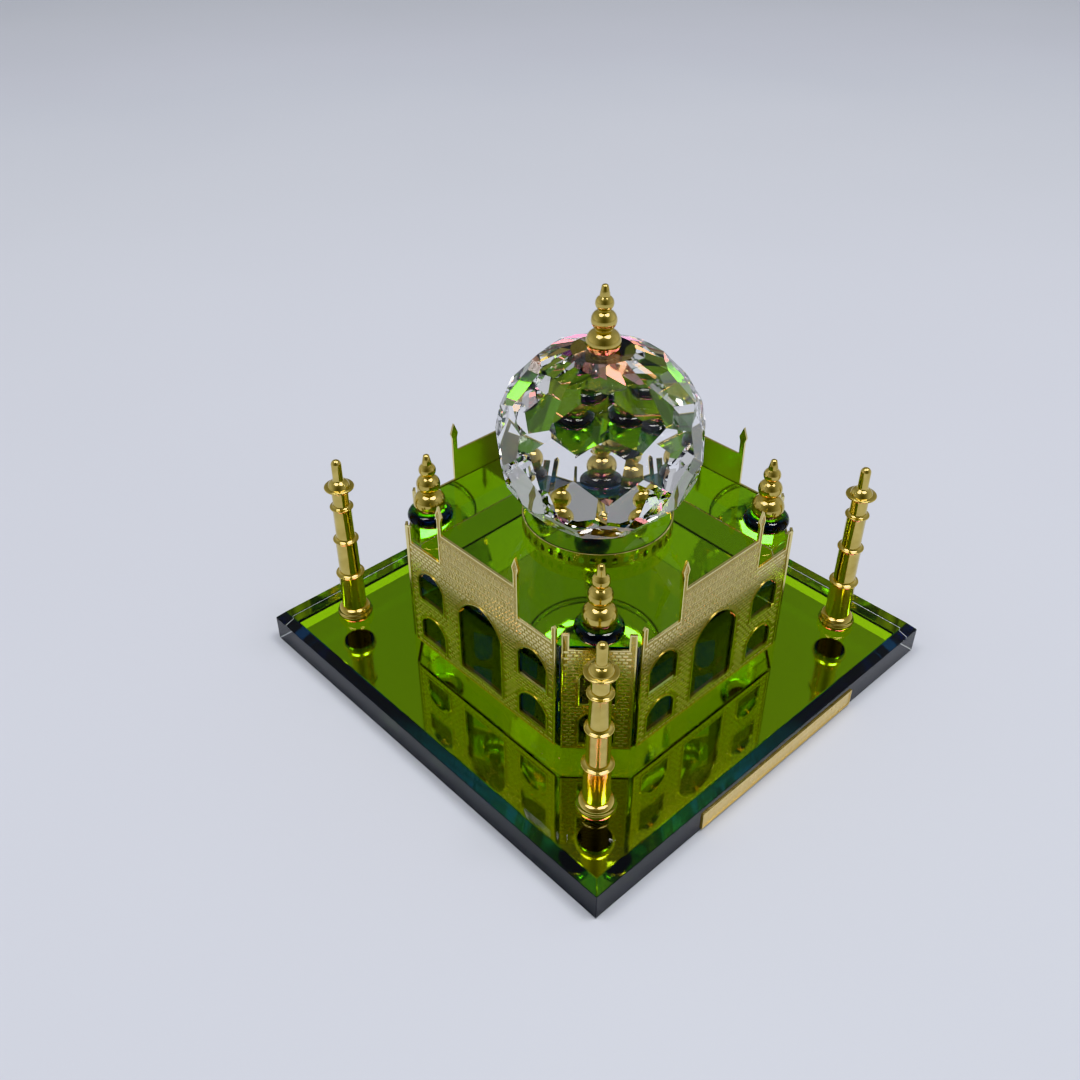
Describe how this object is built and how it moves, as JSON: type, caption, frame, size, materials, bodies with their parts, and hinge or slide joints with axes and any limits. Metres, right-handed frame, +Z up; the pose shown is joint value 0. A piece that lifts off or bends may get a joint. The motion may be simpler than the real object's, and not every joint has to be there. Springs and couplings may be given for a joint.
{
  "type": "miniature landmark model",
  "caption": "Desk model of a domed tomb: faceted crystal ball on an etched glass block, with gilt corner towers, on a square mirrored glass base.",
  "frame": {"origin": "middle of the resting face of the base, on the surface it stands on", "axes": "+Z up through the crystal ball and its finial; -Y towards the side that carries the blank name plate; +X to the right seen from that side"},
  "size_m": [0.1, 0.1003, 0.086],
  "materials": {
    "clear_glass": "clear optical glass, ground and polished",
    "crystal": "clear faceted crystal, polished",
    "dark_crystal": "clear glass bead that reads dark over the mirror",
    "mirror_film": "green colour-shift mirror film",
    "etched_gold": "gilt sheet, photo-etched pattern, satin",
    "polished_gold": "turned brass, gold plated, polished"
  },
  "bodies": {
    "root": {"base_plate": "clear_glass", "mirror_film": "mirror_film", "name_plate": "etched_gold", "body_block": "clear_glass", "front_facade": "etched_gold", "right_facade": "etched_gold", "back_facade": "etched_gold", "left_facade": "etched_gold", "front_right_panel": "etched_gold", "front_right_tower": "polished_gold", "front_right_dome": "dark_crystal", "front_right_finial": "polished_gold", "back_right_panel": "etched_gold", "back_right_tower": "polished_gold", "back_right_dome": "dark_crystal", "back_right_finial": "polished_gold", "back_left_panel": "etched_gold", "back_left_tower": "polished_gold", "back_left_dome": "dark_crystal", "back_left_finial": "polished_gold", "front_left_panel": "etched_gold", "front_left_tower": "polished_gold", "front_left_dome": "dark_crystal", "front_left_finial": "polished_gold", "drum_disc": "clear_glass", "drum_band": "etched_gold", "crystal_ball": "crystal", "ball_finial": "polished_gold"}
  },
  "joints": []
}
